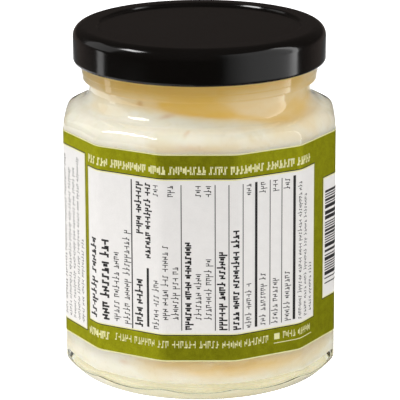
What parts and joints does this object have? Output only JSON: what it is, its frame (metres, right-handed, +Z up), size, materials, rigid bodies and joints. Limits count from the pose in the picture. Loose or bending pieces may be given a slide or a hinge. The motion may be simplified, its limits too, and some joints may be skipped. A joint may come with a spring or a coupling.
{
  "type": "jar of horseradish sauce",
  "caption": "Small panelled glass jar full of white horseradish sauce, shut by a black twist-off lid, with a green and white paper label round its panels.",
  "frame": {"origin": "middle of the foot ring, in the plane the jar stands on", "axes": "+Z up along the jar's axis; -Y is square to one of the panels"},
  "size_m": [0.0712, 0.0712, 0.0932],
  "materials": {
    "glass": "clear, gloss, faint yellow-green in thick places",
    "lid_enamel": "gloss black enamel on pressed steel",
    "sauce": "smooth off-white cream, pressed against the glass",
    "label_paper": "semi-gloss printed paper, green bands round white panels"
  },
  "bodies": {
    "root": {"glass_jar": "glass", "lid": "lid_enamel", "sauce": "sauce", "label": "label_paper"}
  },
  "joints": []
}
